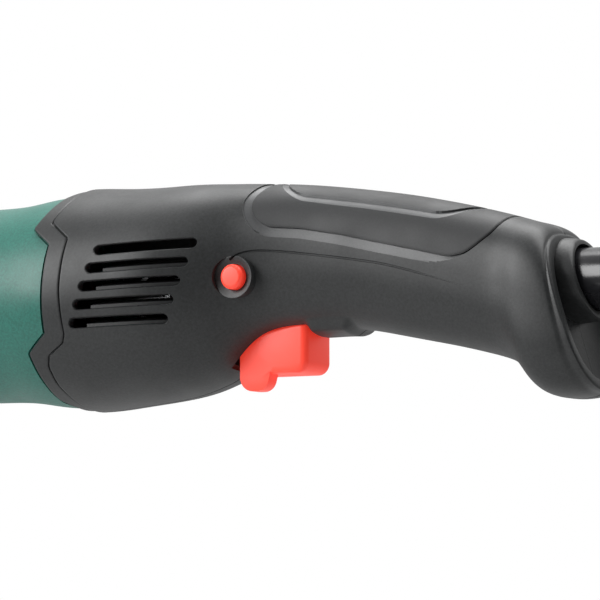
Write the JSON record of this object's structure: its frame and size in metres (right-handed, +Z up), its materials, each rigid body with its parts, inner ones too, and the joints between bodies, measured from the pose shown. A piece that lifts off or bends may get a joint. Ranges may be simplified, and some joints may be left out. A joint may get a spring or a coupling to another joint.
{
  "type": "string trimmer",
  "caption": "Straight-boom electric string trimmer: rear motor housing, vented handle with red trigger and lock button, loop front handle, angled gearbox, guard and tap-feed head.",
  "frame": {"origin": "on the boom's axis, in the middle of the strap clamp", "axes": "+X along the boom from the motor to the cutting head, +Z up towards the front handle, +Y to the user's left"},
  "size_m": [1.5031, 0.244, 0.3024],
  "materials": {
    "teal_plastic": "satin moulded plastic with a fine metallic fleck",
    "black_plastic": "dark grey moulded plastic with a fine spark-eroded grain",
    "soft_grip": "matt soft-touch overmould",
    "red_plastic": "smooth orange-red moulded plastic",
    "switch_plastic": "glossy black plastic",
    "boom_paint": "gloss black paint on tube",
    "steel": "bright machined steel",
    "dark_steel": "blackened steel",
    "copper": "lacquered copper",
    "cast_alloy": "die-cast alloy, blasted",
    "carbon": "matt carbon",
    "line_nylon": "smooth orange nylon",
    "white_plastic": "natural moulded nylon"
  },
  "bodies": {
    "frame": {"motor_housing": "teal_plastic", "handle_shell_left": "black_plastic", "handle_shell_right": "black_plastic", "rear_cap": "black_plastic", "brush_cap_left": "black_plastic", "brush_cap_right": "black_plastic", "handle_clamp_upper": "black_plastic", "handle_clamp_lower": "black_plastic", "guard": "black_plastic", "grip_inlay": "soft_grip", "cord_gland": "soft_grip", "switch_body": "switch_plastic", "boom_tube": "boom_paint", "trigger_pin": "steel", "trigger_spring": "steel", "rear_bearing": "steel", "front_bearing": "steel", "output_bearing": "steel", "strap_bolt": "steel", "clamp_screw_1": "steel", "clamp_screw_2": "steel", "line_cutter": "steel", "stator_core": "dark_steel", "strap_clamp": "dark_steel", "shell_screw_1": "dark_steel", "shell_screw_2": "dark_steel", "shell_screw_3": "dark_steel", "shell_screw_4": "dark_steel", "field_coil_upper": "copper", "field_coil_lower": "copper", "gearbox_housing": "cast_alloy", "bearing_bracket": "cast_alloy", "carbon_brush_left": "carbon", "carbon_brush_right": "carbon", "shaft_bushing_rear": "white_plastic", "shaft_bushing_front": "white_plastic"},
    "trigger": {"trigger": "red_plastic"},
    "switch_plunger": {"switch_plunger": "white_plastic"},
    "lock_button": {"lock_button": "red_plastic", "lock_button_spring": "steel"},
    "drive_line": {"armature_core": "steel", "armature_winding": "copper", "commutator": "copper", "motor_shaft": "steel", "cooling_fan": "white_plastic", "shaft_coupling": "steel", "drive_shaft": "steel", "bevel_pinion": "steel"},
    "cutting_head": {"bevel_gear": "steel", "output_spindle": "steel", "spool_housing": "black_plastic", "line_eyelet_left": "steel", "line_eyelet_right": "steel", "line_end_left": "line_nylon", "line_end_right": "line_nylon", "tap_spring": "steel"},
    "tap_knob": {"tap_knob": "black_plastic", "line_spool": "line_nylon"},
    "front_handle": {"front_handle_loop": "black_plastic"},
    "handle_knob": {"handle_knob": "black_plastic"}
  },
  "joints": [
    {"name": "trigger_pull", "type": "hinge", "parent": "frame", "child": "trigger", "pos_m": [-0.2125, 0, -0.0086], "axis": [0, 1, 0], "range_deg": [0, 9], "stiffness_Nm_per_rad": 1, "springref_deg": -4.58, "deforming": ["trigger_spring"]},
    {"name": "switch_press", "type": "slide", "parent": "frame", "child": "switch_plunger", "axis": [0, 0, 1], "range_m": [0, 0.0035]},
    {"name": "lock_button_press", "type": "slide", "parent": "frame", "child": "lock_button", "axis": [0, 1, 0], "range_m": [0, 0.003], "stiffness_N_per_m": 800, "springref_m": -0.002},
    {"name": "drive_spin", "type": "hinge", "parent": "frame", "child": "drive_line", "pos_m": [0, 0, 0], "axis": [1, 0, 0], "continuous": true},
    {"name": "head_spin", "type": "hinge", "parent": "frame", "child": "cutting_head", "pos_m": [0.892, 0, 0], "axis": [0.5736, 0, -0.8192], "continuous": true},
    {"name": "tap_press", "type": "slide", "parent": "cutting_head", "child": "tap_knob", "axis": [-0.5736, 0, 0.8192], "range_m": [0, 0.005], "stiffness_N_per_m": 1500, "springref_m": -0.004, "deforming": ["tap_spring"]},
    {"name": "front_handle_tilt", "type": "hinge", "parent": "frame", "child": "front_handle", "pos_m": [0.12, 0, 0.035], "axis": [0, 1, 0], "range_deg": [-30, 30]},
    {"name": "handle_knob_turn", "type": "hinge", "parent": "frame", "child": "handle_knob", "pos_m": [0.12, 0, 0.035], "axis": [0, 1, 0], "continuous": true}
  ],
  "couplings": [
    {"joint": "switch_press", "follows": "trigger_pull", "m_per_rad": 0.0215},
    {"joint": "head_spin", "follows": "drive_spin", "ratio": -0.70588}
  ]
}
